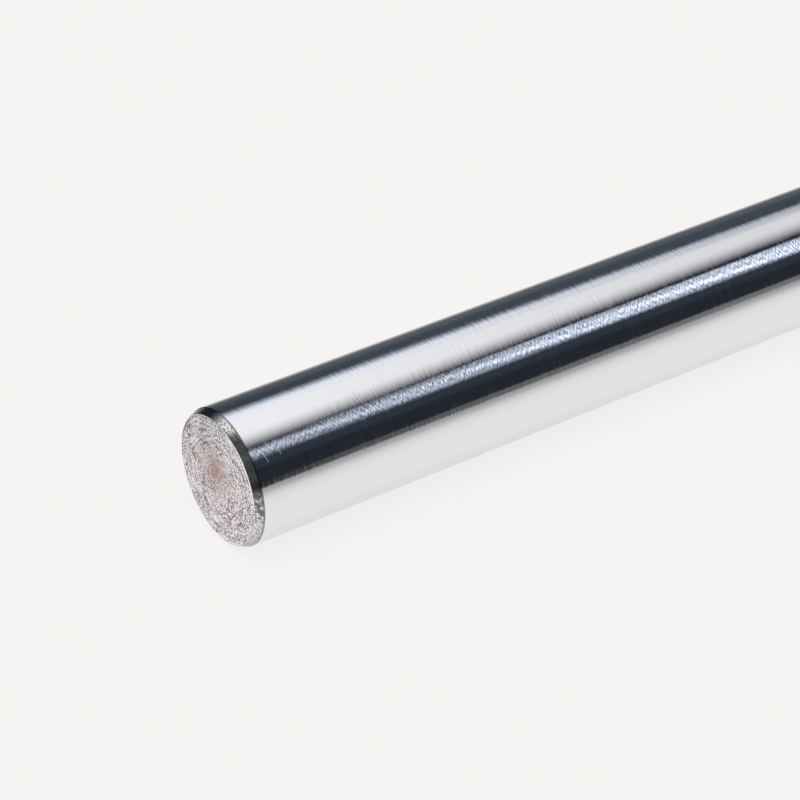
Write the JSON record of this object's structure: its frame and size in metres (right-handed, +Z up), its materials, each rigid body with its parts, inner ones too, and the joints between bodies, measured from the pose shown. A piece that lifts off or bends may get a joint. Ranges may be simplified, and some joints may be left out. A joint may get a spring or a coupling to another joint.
{
  "type": "linear shaft",
  "caption": "Solid round hardened and ground steel shaft with flat faced ends and shallow lead-in chamfers, for linear bushings to slide on.",
  "frame": {"origin": "on the shaft's axis, halfway between its two faced ends", "axes": "+X along the shaft's axis, +Z up as the shaft lies; the end that the picture shows is the one towards -X"},
  "size_m": [0.25, 0.016, 0.016],
  "materials": {
    "ground_steel": "ground and polished outside, fine turned chamfers and speckled faced ends"
  },
  "bodies": {
    "root": {"linear_shaft": "ground_steel"}
  },
  "joints": []
}
